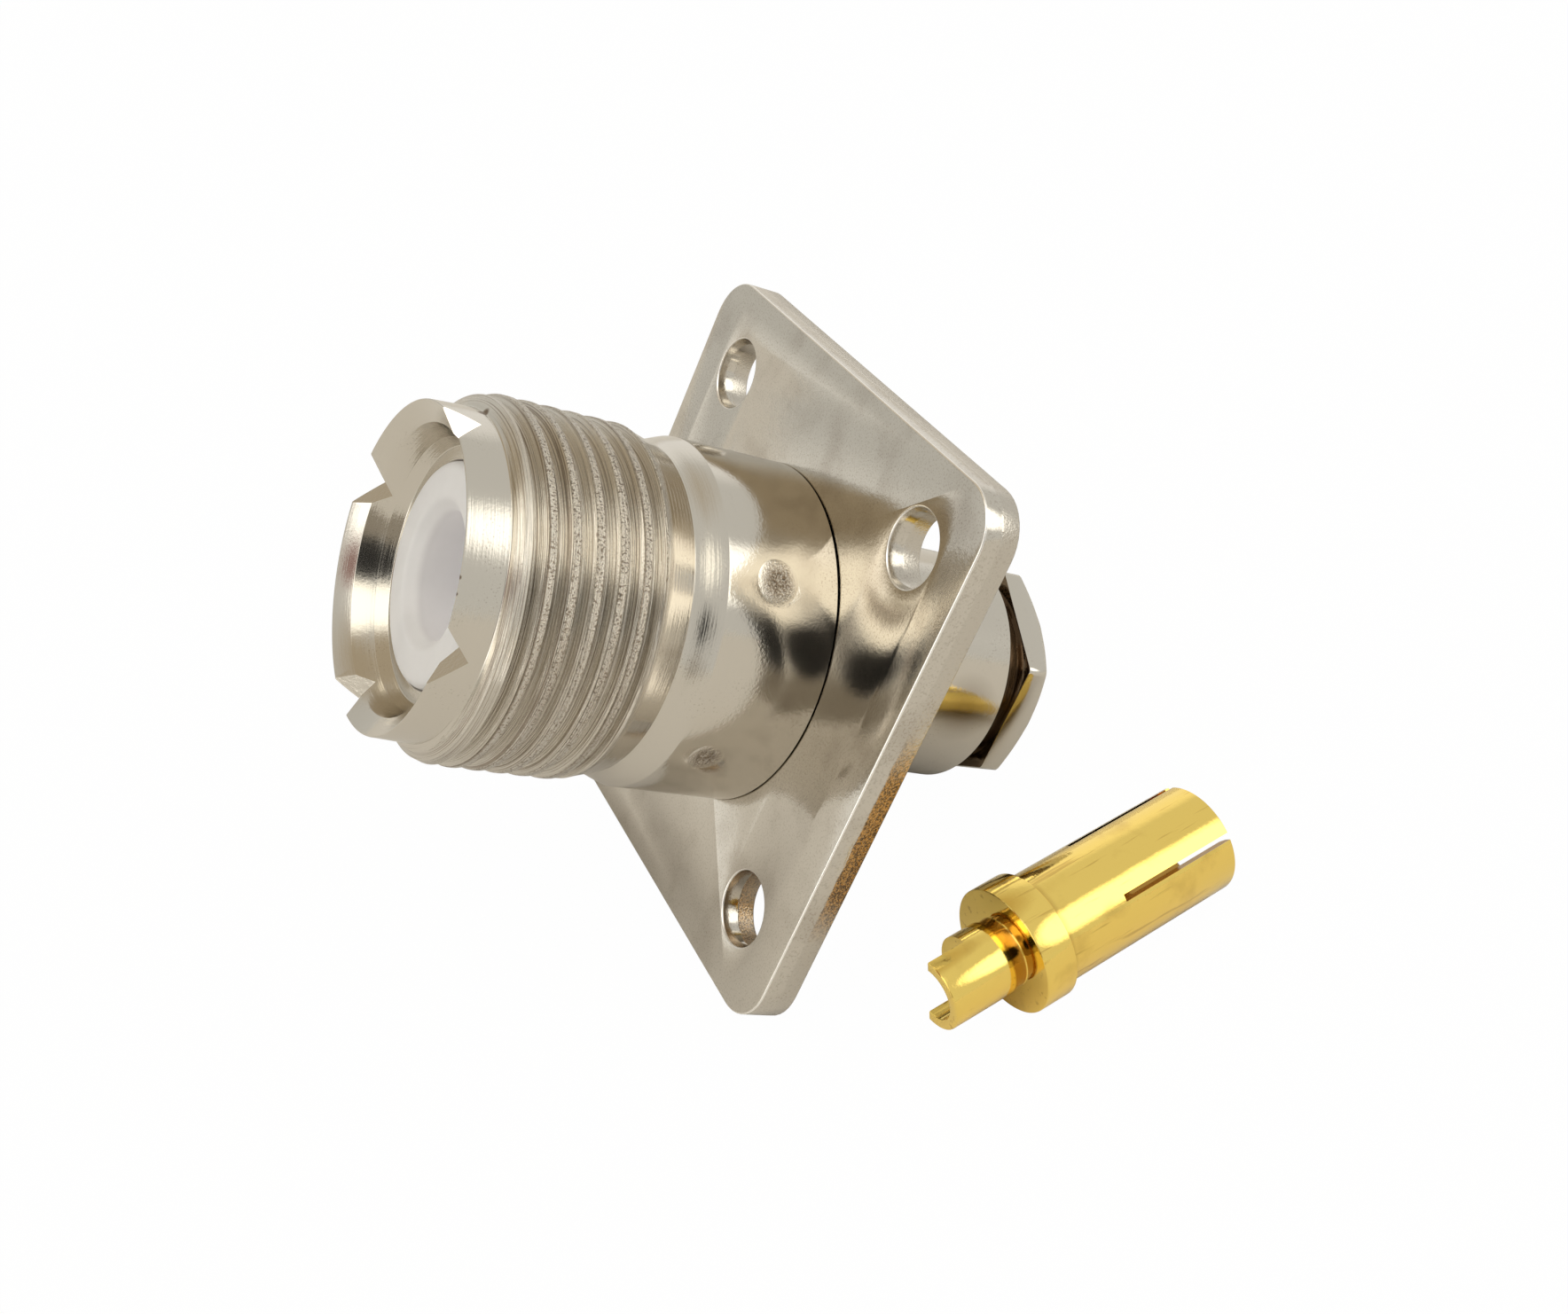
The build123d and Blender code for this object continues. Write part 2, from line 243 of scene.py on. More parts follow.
class FinishColours(bpy.types.PropertyGroup):
    """Colours of the finishes."""

    nickel: colour((0.66, 0.62, 0.55), "Nickel plate")
    # Near-white painted highlight along the plate's front edges.
    painted_edge_highlight: colour((0.98, 0.95, 0.9), "Bright build-up along the plate's edges")
    # Also used as painted shade in the nut's gap and as a painted reflection on the rear barrel.
    nickel_stain_and_shade: colour((0.16, 0.1, 0.05), "Brown in grooves and around marks")
    # Orange of a painted reflection of the gold contact on the plate's side.
    contact_reflection_tint: colour((0.62, 0.36, 0.12), "Where the punch sheared the plate's edges")
    gold: colour((1.0, 0.735, 0.19), "Gold plate")
    # Also used as painted shade in the bore, the neck groove and the corner by the collar.
    gold_stain_and_shade: colour((0.35, 0.15, 0.03), "Dark streaks on the gold")
    sleeve: colour((0.7, 0.695, 0.7), "White insulator")
    # Colour of a painted glow: emission inside the sleeve's bore.
    painted_sleeve_glow: colour((0.1, 0.093, 0.092), "Light that comes through the sleeve's wall")
    rubber: colour((0.03, 0.03, 0.03), "Gasket")
    floor: colour((0.75, 0.735, 0.715), "Plain pale floor")


class StageSettings(bpy.types.PropertyGroup):
    """Camera and room."""

    camera_place: FloatVectorProperty(
        description="Where the camera stands",
        default=(-0.021509, -0.063961, 0.047490),
        subtype="TRANSLATION",
    )
    camera_aim: FloatVectorProperty(
        description="Direction in which the camera looks",
        default=(0.27868759, 0.75714044, -0.59082281),
        subtype="DIRECTION",
    )
    camera_roll: angle(-7.06, "Turn about the line of sight")
    camera_lens: FloatProperty(description="Focal length on a 36 mm sensor", default=40.94, unit="CAMERA")
    room_level: FloatProperty(description="Brightness of the room", default=0.7)


# Mesh tools


def new_object(name, data):
    """A new object in the scene."""
    holder = bpy.data.objects.new(name, data)
    bpy.context.scene.collection.objects.link(holder)
    return holder


def to_mesh(name, bm):
    """Turns a bmesh into a mesh whose faces look outwards."""
    bmesh.ops.recalc_face_normals(bm, faces=bm.faces)
    mesh = bpy.data.meshes.new(name)
    bm.to_mesh(mesh)
    bm.free()
    return mesh


def final_mesh(holder):
    """The mesh of an object with its modifiers applied."""
    graph = bpy.context.evaluated_depsgraph_get()
    return bpy.data.meshes.new_from_object(holder.evaluated_get(graph))


def finish_mesh(name, bm, place, sharp=radians(28)):
    """Puts a bmesh drawn in its own frame in place and returns it as an object."""
    mesh = to_mesh(name, bm)
    mesh.transform(place)
    mesh.shade_smooth()
    mesh.set_sharp_from_angle(angle=sharp)
    return new_object(name, mesh)


def softened(corners, radius, steps=3, closed=True):
    """A profile of (radius, height) points with its corners rounded, apart from bends under 12 degrees."""
    points = []
    count = len(corners)
    for i, corner in enumerate(corners):
        here = Vector(corner)
        before = Vector(corners[i - 1]) - here
        after = Vector(corners[(i + 1) % count]) - here
        at_end = not closed and i in (0, count - 1)
        bend = pi - before.angle(after) if not at_end else 0
        if bend < radians(12):
            points.append(here)
            continue
        back = min(radius * tan(bend / 2), before.length * 0.4, after.length * 0.4)
        start, end = here + before.normalized() * back, here + after.normalized() * back
        for step in range(steps + 1):
            t = step / steps
            points.append(start * (1 - t) ** 2 + here * 2 * t * (1 - t) + end * t**2)
    return [tuple(point) for point in points]


def lathe(radii, heights, closed=True):
    """A bmesh of rings: radii is rows by segments, and heights has one value for each row."""
    rows, segments = radii.shape
    turn = np.linspace(0, 2 * pi, segments, endpoint=False)
    x, y = radii * np.cos(turn), radii * np.sin(turn)
    z = np.repeat(np.asarray(heights, float)[:, None], segments, axis=1)
    bm = bmesh.new()
    verts = [bm.verts.new(point) for point in np.stack([x, y, z], -1).reshape(-1, 3)]
    for row in range(rows if closed else rows - 1):
        below, above = row * segments, (row + 1) % rows * segments
        for seg in range(segments):
            beside = (seg + 1) % segments
            corners = (below + seg, below + beside, above + beside, above + seg)
            bm.faces.new([verts[i] for i in corners])
    return bm


def turned(profile, segments):
    """A bmesh turned from a closed profile of (radius, height) points."""
    radii = np.repeat(np.array([r for r, _ in profile])[:, None], segments, axis=1)
    return lathe(radii, [h for _, h in profile])


def prism(outline, low, high, place):
    """A closed cutter: an outline in X and Y between two heights, put in place."""
    bm = bmesh.new()
    bottom = [bm.verts.new((x, y, low)) for x, y in outline]
    top = [bm.verts.new((x, y, high)) for x, y in outline]
    bm.faces.new(bottom)
    bm.faces.new(top)
    for i in range(len(outline)):
        j = (i + 1) % len(outline)
        bm.faces.new((bottom[i], bottom[j], top[j], top[i]))
    mesh = to_mesh("cutter", bm)
    mesh.transform(place)
    return mesh


def cut(bm, cutters):
    """The bmesh with the cutters taken away."""
    blank = new_object("blank", to_mesh("blank", bm))
    tools = []
    for cutter in cutters:
        tools.append(new_object("tool", cutter))
        boolean = blank.modifiers.new("cut", "BOOLEAN")
        boolean.operation, boolean.solver, boolean.object = "DIFFERENCE", "EXACT", tools[-1]
    result = final_mesh(blank)
    for used in [blank, *tools]:
        bpy.data.meshes.remove(used.data)
    cleaned = bmesh.new()
    cleaned.from_mesh(result)
    bpy.data.meshes.remove(result)
    return cleaned


def smooth_step(low, high, value):
    share = np.clip((value - low) / (high - low), 0, 1)
    return share * share * (3 - 2 * share)


def thread_shape(pitch, crest, depth, burr):
    """One pitch of the thread: shares of the pitch and depths, from a crest's middle on.

    The groove is rounded, and fine tool lines run along its flanks.
    """
    edge = crest / 2 / pitch
    half = [(0, 0), (edge * 0.8, -burr), (edge, burr / 2)]
    steps = 9
    for step in range(1, steps):
        share = step / steps
        round_depth = depth * (0.5 - 0.5 * cos(pi * share))
        half.append((edge + (0.5 - edge) * share, round_depth + burr * cos(2.3 * step)))
    mirrored = [(1 - share, deep) for share, deep in reversed(half[1:])]
    return np.array([*half, (0.5, depth), *mirrored]).T


def add_thread(bm, s, low, high, lead_heights, lead_radii, segments):
    """Adds the threaded length to a bmesh, with rows that climb with the thread.

    Rows that pass either end are pressed flat onto it, where they merge with the plain rings.
    """
    shares, depths = thread_shape(s.thread_pitch, s.thread_crest, s.thread_depth, 0.007 * MM)
    count = len(shares)
    first = s.thread_place - ceil((s.thread_place - low) / s.thread_pitch + 1) * s.thread_pitch
    rows = np.arange(count * (ceil((high - first) / s.thread_pitch) + 1))
    turn = np.arange(segments) / segments
    z = first + s.thread_pitch * ((rows // count + shares[rows % count])[:, None] + turn[None, :])
    random = np.random.default_rng(5)
    phase = random.uniform(0, 2 * pi, (len(rows), 1))
    swing = np.sin(2 * pi * turn[None, :] * 2 + phase) + 0.6 * np.sin(2 * pi * turn[None, :] * 7 + 3 * phase)
    near_edge = np.abs(depths[rows % count]) < 0.1 * s.thread_depth
    tears = s.thread_tears * random.normal(0, 1, z.shape) ** 3
    depth = depths[rows % count][:, None] + s.thread_ripple * swing + tears * near_edge[:, None]
    kept = smooth_step(low, low + 0.45 * MM, z) * smooth_step(high, high - 0.04 * MM, z)
    z = np.clip(z, low, high)
    radii = np.minimum(np.interp(z, lead_heights, lead_radii), s.barrel_radius - depth * kept)
    around = 2 * pi * turn[None, :]
    points = np.stack([radii * np.cos(around), radii * np.sin(around), z], -1).reshape(-1, 3)
    verts = [bm.verts.new(point) for point in points]
    for row in rows[:-1]:
        for seg in range(segments):
            climb = row + count if seg == segments - 1 else row
            if climb + 1 > rows[-1]:
                continue
            beside = (seg + 1) % segments
            corners = (row * segments + seg, climb * segments + beside, (climb + 1) * segments + beside)
            bm.faces.new([verts[i] for i in (*corners, (row + 1) * segments + seg)])
    bmesh.ops.remove_doubles(bm, verts=bm.verts, dist=MICRON)


def set_material(piece, finish):
    """Gives a piece one material and no other."""
    piece.data.materials.clear()
    piece.data.materials.append(finish)


def add_piece(piece, body, slot, finish, *nodes):
    """Gives a piece its body and its material, and hides the CAD nodes that it stands for; the slot is not
    used.
    """
    set_material(piece, finish)
    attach(piece, body)
    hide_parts(*nodes)


# Pieces


def shell_rows(s):
    """Rows of the shell's profile from the mouth round the outside and back through the bore."""
    seat = s.insulator_radius + 0.05 * MM
    edge = s.nose_height - s.mouth_depth

    def wall(level):
        """A point of the mouth's sloping wall at the given height."""
        return (s.nose_radius - 0.08 * MM - s.mouth_width - (edge - level) * tan(s.wall_slope), level)

    line = (s.mouth_floor + edge) / 2 - 0.17 * MM
    front = [
        (seat, s.mouth_floor - 1.6 * MM),
        (seat, s.mouth_floor),
        wall(s.mouth_floor),
        wall(line - 0.04 * MM),
        (wall(line)[0] + 0.006 * MM, line),
        wall(line + 0.04 * MM),
        wall(edge),
        (s.nose_radius - 0.08 * MM, s.nose_height),
        (s.nose_radius, s.nose_root),
        (s.lead_in_radius, s.nose_root - 0.1 * MM),
    ]
    relief = [
        (s.barrel_radius - 0.14 * MM, s.thread_end),
        (s.relief_radius, s.relief_height),
        (s.relief_radius + 0.17 * MM, s.relief_height - 0.48 * MM),
        (s.relief_radius + 0.19 * MM, s.relief_height - 0.52 * MM),
        (s.barrel_radius, s.shoulder_height),
        (s.barrel_radius, s.shoulder_height - 0.15 * MM),
    ]
    barrel = np.linspace(s.shoulder_height - 0.3 * MM, 0.12 * MM, 46)
    clamp_bore, plug_bore, clamp_floor = 4.55 * MM, 4.3 * MM, -6.8 * MM
    rear = [
        (s.barrel_radius, s.seam_gap + 0.03 * MM),
        (s.barrel_radius - 0.03 * MM, s.seam_gap),
        (s.barrel_radius - 0.4 * MM, s.seam_gap),
        (s.barrel_radius - 0.4 * MM, 0),
        (LAND_RADIUS, 0),
        (LAND_RADIUS, -s.flange_thickness),
        (s.rear_radius, -s.flange_thickness),
        (s.rear_radius, s.rear_end + 0.15 * MM),
        (s.rear_radius - 0.15 * MM, s.rear_end),
        (clamp_bore, s.rear_end),
        (clamp_bore, clamp_floor),
        (plug_bore, clamp_floor),
        (plug_bore, SLEEVE_SEAT),
        (seat, SLEEVE_SEAT),
    ]
    front, relief = (softened(corners, s.edge_round, closed=False) for corners in (front, relief))
    return front, relief, barrel, softened(rear, s.edge_round * 0.6, closed=False)


def dent(z, around, radius, place, turn_place, size, depth, seed):
    """A rough round dent in a barrel, with a raised rim, as a change of radius."""
    side = (np.mod(around - turn_place + pi, 2 * pi) - pi) * radius
    away = np.sqrt((z - place) ** 2 + side**2) / size
    inside = 1 - smooth_step(0.35, 1.0, away)
    rim = 0.08 * np.exp(-(((away - 1.0) / 0.25) ** 2))
    rough = np.random.default_rng(seed).normal(0, 0.8, away.shape) * (inside + rim)
    return depth * (rim - inside + rough)


def build_shell(s):
    """The turned body, with its thread, its notched rim and two stake marks in the barrel."""
    front, relief, barrel, rear = shell_rows(s)
    marks = 0
    for seed, (place, turn, size, depth, _) in enumerate(STAKES, 3):
        where = (barrel[:, None], TURN[None, :], s.barrel_radius, place * MM, radians(turn))
        marks = marks + dent(*where, size * MM, depth * MM, seed)
    plain = np.ones(SEGMENTS)
    rings = [r * plain for r, _ in relief] + list(s.barrel_radius + marks)
    rings += [r * plain for r, _ in rear + front]
    heights = [h for _, h in relief] + list(barrel) + [h for _, h in rear + front]
    bm = lathe(np.array(rings), heights, closed=False)
    full_depth, lead_start, lead_bend, nose = 8.55 * MM, 14.1 * MM, 14.7 * MM, front[-1][1]
    lead_heights = [s.thread_end, full_depth, lead_start, lead_bend, nose]
    lead_drops = [0.14 * MM, 0, 0, 0.2 * MM, s.barrel_radius - s.lead_in_radius]
    lead_radii = [s.barrel_radius - drop for drop in lead_drops]
    add_thread(bm, s, s.thread_end, nose, lead_heights, lead_radii, SEGMENTS)
    outline = [(-s.notch_width, s.notch_depth), (0, -s.notch_depth), (s.notch_width, s.notch_depth)]
    outwards = Matrix.Rotation(pi / 2, 4, "Z") @ Matrix.Rotation(pi / 2, 4, "X")
    lift = Matrix.Translation((0, 0, s.nose_height))
    cutters = []
    for notch_angle in s.notch_angles:
        across = Matrix.Rotation(notch_angle, 4, "Z")
        cutters.append(prism(outline, 0, s.barrel_radius, across @ lift @ outwards))
    return finish_mesh("shell_turned", cut(bm, cutters), JACK)


def plate_outline(half, corner, steps=10):
    """A square with rounded corners, as a list of points."""
    points = []
    for quarter in range(4):
        centre = Matrix.Rotation(quarter * pi / 2, 2) @ Vector((half - corner, half - corner))
        for step in range(steps + 1):
            around = quarter * pi / 2 + step / steps * pi / 2
            points.append((centre.x + corner * cos(around), centre.y + corner * sin(around)))
    return points


def build_flange(s):
    """The square plate with rounded edges, its four holes and the seat of the shell."""
    bevel = 0.09 * MM
    low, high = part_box("flange")
    half = (high.y - low.y) / 2
    bolts = MOUNTS["panel_holes"]["dims"]
    reach = bolts["pcd_mm"] / 2 / sqrt(2) * MM
    curve = bpy.data.curves.new("flange_plate", "CURVE")
    curve.dimensions, curve.fill_mode = "2D", "BOTH"
    curve.extrude = s.flange_thickness / 2 - bevel
    curve.bevel_depth, curve.bevel_resolution, curve.offset = bevel, 2, -bevel
    outlines = [plate_outline(half, s.flange_corner)]
    holes = [(x, y, bolts["hole_r_mm"] * MM) for x in (-reach, reach) for y in (-reach, reach)]
    around = np.linspace(0, 2 * pi, 96, endpoint=False)
    for x, y, radius in [*holes, (0, 0, LAND_RADIUS)]:
        outlines.append([(x + radius * cos(a), y + radius * sin(a)) for a in around])
    for outline in outlines:
        spline = curve.splines.new("POLY")
        spline.points.add(len(outline) - 1)
        for point, (x, y) in zip(spline.points, outline):
            point.co = (x, y, 0, 1)
        spline.use_cyclic_u = True
    holder = new_object("flange_outline", curve)
    mesh = final_mesh(holder)
    bpy.data.objects.remove(holder)
    bm = bmesh.new()
    bm.from_mesh(mesh)
    bmesh.ops.remove_doubles(bm, verts=bm.verts, dist=MICRON)
    bpy.data.meshes.remove(mesh)
    middle = Matrix.Translation((0, 0, -s.flange_thickness / 2))
    return finish_mesh("flange_plate", bm, JACK @ middle, radians(35))


def build_sleeve(s):
    """The white sleeve in the mouth, with its soft edges."""
    bore = MOUNTS["contact_bore"]["dims"]["r_mm"] * MM
    seat = MOUNTS["contact_bore"]["dims"]["length_mm"] * MM
    bottom = s.insulator_face - 0.15 * MM - seat
    lip, foot = 0.5 * MM, 3.05 * MM
    corners = [
        (bore + lip, s.insulator_face),
        (s.insulator_radius, s.insulator_face),
        (s.insulator_radius, SLEEVE_SEAT),
        (foot, SLEEVE_SEAT),
        (foot, bottom),
        (bore, bottom),
        (bore, s.insulator_face - lip),
    ]
    return finish_mesh("insulator_sleeve", turned(softened(corners, lip, steps=7), 180), JACK)


def build_nut(n):
    """The clamp nut: threaded shank, hexagon with turned-off corners, and cable bore."""
    low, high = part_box("clamp_nut")
    flat = (high.y - low.y) / 2
    corner_radius = flat * 2 / sqrt(3)
    from_flat = np.mod(TURN, pi / 3) - pi / 6
    hexagon = np.minimum(flat / np.cos(from_flat), corner_radius - 0.05 * MM)
    rear = n.hex_front - n.hex_length
    bore = MOUNTS["cable_entry"]["dims"]["r_mm"] * MM
    round_edge, soft_edge = 0.05 * MM, 0.3 * MM
    corner_lean = tan(radians(30))
    inner_rear = corner_radius - (n.hex_length - n.corner_length) / corner_lean

    def slope_at(radius):
        """Height of the turned-off rear face at a radius."""
        return rear + np.maximum(0, radius - inner_rear) * corner_lean

    shank = np.linspace(n.hex_front + 0.45 * MM, n.hex_front + n.shank_length - 0.35 * MM, 62)
    offset = shank[:, None] / n.thread_pitch - TURN[None, :] / (2 * pi)
    groove = n.thread_depth * (0.5 - 0.5 * np.cos(2 * pi * offset))
    ends = smooth_step(shank[0], shank[0] + soft_edge, shank)[:, None]
    root, front = n.shank_radius - n.thread_depth, n.hex_front + n.shank_length
    rows = [(bore, rear + soft_edge), (bore + soft_edge, rear), (inner_rear - soft_edge, rear)]
    for share in np.linspace(0, 1, 9):
        radius = inner_rear + (hexagon - round_edge - inner_rear) * share
        rows.append((radius, slope_at(radius)))
    rows += [
        (hexagon - round_edge * 0.3, slope_at(hexagon) + round_edge * 0.3),
        (hexagon, slope_at(hexagon) + round_edge),
        (hexagon, n.hex_front - round_edge),
        (hexagon - round_edge * 0.3, n.hex_front - round_edge * 0.3),
        (hexagon - round_edge, n.hex_front),
        (n.shank_radius - soft_edge, n.hex_front),
        (root, n.hex_front + 0.05 * MM),
    ]
    for z, cut_in, end in zip(shank, groove, ends):
        rows.append((root + (n.shank_radius - cut_in - root) * end, z))
    rows += [(n.shank_radius - 0.32 * MM, front), (bore, front)]
    radii, heights = (np.array([np.broadcast_to(row[i], SEGMENTS) for row in rows]) for i in (0, 1))
    bm = lathe(radii, np.zeros(len(rows)))
    for vert, z in zip(bm.verts, heights.ravel()):
        vert.co.z = z
    return finish_mesh("clamp_nut_turned", bm, JACK)


def build_contact(c):
    """The gold contact: slotted socket, collar, neck and the solder cup with its far side open."""
    bore_floor = c.socket_length - c.bore_depth
    foot = -MOUNTS["pin_socket"]["dims"]["length_mm"] / 2 * MM - bore_floor
    bore = MOUNTS["pin_socket"]["dims"]["r_mm"] * MM
    tail = -c.collar_length - c.neck_length
    end = tail - c.tail_length
    corners = [
        (0.02 * MM, bore_floor),
        (bore, bore_floor),
        (bore, c.socket_length - 0.2 * MM),
        (bore + 0.2 * MM, c.socket_length),
        (c.socket_radius, c.socket_length),
        (c.socket_radius, 0.04 * MM),
        (c.socket_radius + 0.04 * MM, 0),
        (c.collar_radius, 0),
        (c.collar_radius, -c.collar_length),
        (c.neck_radius, -c.collar_length),
        (c.neck_radius, tail),
        (c.tail_radius, tail),
        (c.tail_radius, end),
        (c.cup_radius, end),
        (c.cup_radius, end + c.cup_depth),
        (0.02 * MM, end + c.cup_depth),
    ]
    cutters = []
    half, side = c.slot_width / 2, 4 * MM
    for slot in range(2):
        across = Matrix.Rotation(c.slot_angle + slot * pi / 2, 4, "Z")
        outline = [(-side, -half), (side, -half), (side, half), (-side, half)]
        cutters.append(prism(outline, c.socket_length - c.slot_length, c.socket_length + MM, across))
    reach = 2 * c.tail_radius
    opening = [(-reach, -reach), (reach, -reach), (reach, -c.cup_offset), (-reach, -c.cup_offset)]
    cutters.append(prism(opening, end - MM, end + c.cup_opening, Matrix.Identity(4)))
    lowered = Matrix.Translation((0, 0, foot))
    blank = turned(softened(corners, 0.07 * MM), 240)
    return finish_mesh("centre_contact_turned", cut(blank, cutters), SOCKET @ lowered, radians(25))


# Shader tools


class Nodes:
    """Short calls for adding and joining the nodes of one tree."""

    def __init__(self, tree):
        self.tree = tree

    def add(self, kind, *given, **settings):
        """A node with its settings, whose first inputs take what is given."""
        node = self.tree.nodes.new(kind)
        for name, value in settings.items():
            setattr(node, name, value)
        for value, socket in zip(given, node.inputs):
            self.join(value, socket)
        return node

    def join(self, value, socket):
        """Joins an output to a socket, or sets the socket to a plain value."""
        if isinstance(value, bpy.types.NodeSocket):
            self.tree.links.new(value, socket)
        else:
            socket.default_value = value

    def math(self, operation, first, second=0.0, clamp=False):
        return self.add("ShaderNodeMath", first, second, operation=operation, use_clamp=clamp).outputs[0]

    def scaled(self, value, factor):
        return self.math("MULTIPLY", value, factor)

    def plus(self, base, *terms):
        """A base and several values, each times its share."""
        for value, share in terms:
            base = self.math("ADD", base, self.scaled(value, share))
        return base

    def most(self, *terms):
        """The highest of several masks, each times its share."""
        highest = 0.0
        for mask, share in terms:
            highest = self.math("MAXIMUM", highest, self.scaled(mask, share))
        return highest

    def mix(self, share, first, second):
        """A blend of two colours, each an output or plain red, green and blue."""
        node = self.add("ShaderNodeMix", share, data_type="RGBA")
        for colour, socket in ((first, node.inputs[6]), (second, node.inputs[7])):
            self.join(colour if isinstance(colour, bpy.types.NodeSocket) else (*colour, 1.0), socket)
        return node.outputs[2]

    def noise(self, vector, scale, detail=3.0, roughness=0.5):
        node = self.add("ShaderNodeTexNoise")
        given = {"Vector": vector, "Scale": scale, "Detail": detail, "Roughness": roughness}
        for name, value in given.items():
            self.join(value, node.inputs[name])
        return node.outputs[0]

    def vector(self, operation, first, second):
        return self.add("ShaderNodeVectorMath", first, second, operation=operation).outputs

    def split(self, vector):
        return self.add("ShaderNodeSeparateXYZ", vector).outputs

    def combine(self, *parts):
        return self.add("ShaderNodeCombineXYZ", *parts).outputs[0]

    def radius(self, place):
        """Distance of a place from the turning axis."""
        x, y, _ = self.split(place)
        return self.math("SQRT", self.math("ADD", self.math("POWER", x, 2), self.math("POWER", y, 2)))

    def between(self, value, low, high, to_low=0.0, to_high=1.0):
        """A soft step from low to high, which are lengths in metres or plain values."""
        ends = (low, high, to_low, to_high)
        return self.add("ShaderNodeMapRange", value, *ends, interpolation_type="SMOOTHSTEP").outputs[0]

    def band(self, value, rise, fall):
        """A soft band that comes in over one pair of millimetres and goes out over the other."""
        (low, full), (fading, gone) = rise, fall
        comes = self.between(value, low * MM, full * MM)
        return self.scaled(comes, self.between(value, fading * MM, gone * MM, 1.0, 0.0))


def new_group(name, inputs, outputs):
    """A shader node group that puts out plain values; its inputs without a default are vectors."""
    group = bpy.data.node_groups.new(name, "ShaderNodeTree")
    for title, default in inputs.items():
        kind = "NodeSocketVector" if default is None else "NodeSocketFloat"
        socket = group.interface.new_socket(title, in_out="INPUT", socket_type=kind)
        if default is not None:
            socket.default_value = default
    for title in outputs:
        group.interface.new_socket(title, in_out="OUTPUT", socket_type="NodeSocketFloat")
    nodes = Nodes(group)
    return nodes, nodes.add("NodeGroupInput").outputs, nodes.add("NodeGroupOutput").inputs


def turned_lines_group(name):
    """Fine lines that a lathe leaves: they follow radius and height, and hardly change round the axis."""
    nodes, given, out = new_group(name, {"Place": None, "Fineness": 9000.0, "Wander": 60.0}, ["Lines"])
    x, y, z = nodes.split(given["Place"])
    outwards = nodes.scaled(nodes.radius(given["Place"]), given["Fineness"])
    wander = nodes.math("ADD", nodes.scaled(y, given["Wander"]), nodes.scaled(x, given["Wander"]))
    drawn = nodes.combine(outwards, nodes.scaled(z, given["Fineness"]), wander)
    nodes.join(nodes.noise(drawn, 1.0, 2.0, 0.6), out["Lines"])


def plate_grain_group(name):
    """Fine pits, soft clouds and sparks of a plated surface."""
    inputs = {"Place": None, "Pit Scale": 6000.0, "Cloud Scale": 350.0}
    nodes, given, out = new_group(name, inputs, ["Pits", "Clouds", "Sparkle"])
    for output, scale, detail in (("Pits", "Pit Scale", 3.0), ("Clouds", "Cloud Scale", 4.0)):
        nodes.join(nodes.noise(given["Place"], given[scale], detail), out[output])
    cells = nodes.add("ShaderNodeTexVoronoi", given["Place"])
    nodes.join(given["Pit Scale"], cells.inputs["Scale"])
    nodes.join(nodes.between(cells.outputs["Distance"], 0.12, 0.3, 1.0, 0.0), out["Sparkle"])


def thread_streaks_group(name):
    """Tool streaks that climb with a thread."""
    inputs = {"Place": None, "Pitch": MM, "Fineness": 4.0, "Wander": 1500.0}
    nodes, given, out = new_group(name, inputs, ["Streaks"])
    x, y, z = nodes.split(given["Place"])
    climb = nodes.scaled(nodes.math("DIVIDE", z, given["Pitch"]), 2 * pi)
    phase = nodes.math("SUBTRACT", climb, nodes.math("ARCTAN2", y, x))
    ring = [nodes.scaled(nodes.math(wave, phase), given["Fineness"]) for wave in ("COSINE", "SINE")]
    drawn = nodes.combine(*ring, nodes.scaled(z, given["Wander"]))
    nodes.join(nodes.noise(drawn, 1.0, 4.0, 0.65), out["Streaks"])


def spot_group(name):
    """A soft round mask about a point."""
    inputs = {"Place": None, "Centre": None, "Radius": MM, "Softness": 0.5}
    nodes, given, out = new_group(name, inputs, ["Mask"])
    gap = nodes.vector("DISTANCE", given["Place"], given["Centre"])["Value"]
    edge = nodes.math("SUBTRACT", 1.0, given["Softness"])
    beyond = nodes.math("SUBTRACT", nodes.math("DIVIDE", gap, given["Radius"]), edge)
    faded = nodes.math("DIVIDE", beyond, given["Softness"])
    nodes.join(nodes.math("SUBTRACT", 1.0, faded, clamp=True), out["Mask"])


def panel_group(name):
    """A soft round panel of light or shade in the room, seen in one direction."""
    inputs = {"Direction": None, "Towards": None, "Core": 0.97, "Edge": 0.9}
    nodes, given, out = new_group(name, inputs, ["Mask"])
    along = nodes.vector("DOT_PRODUCT", given["Direction"], given["Towards"])["Value"]
    above = nodes.math("SUBTRACT", along, given["Edge"])
    width = nodes.math("SUBTRACT", given["Core"], given["Edge"])
    nodes.join(nodes.math("DIVIDE", above, width, clamp=True), out["Mask"])


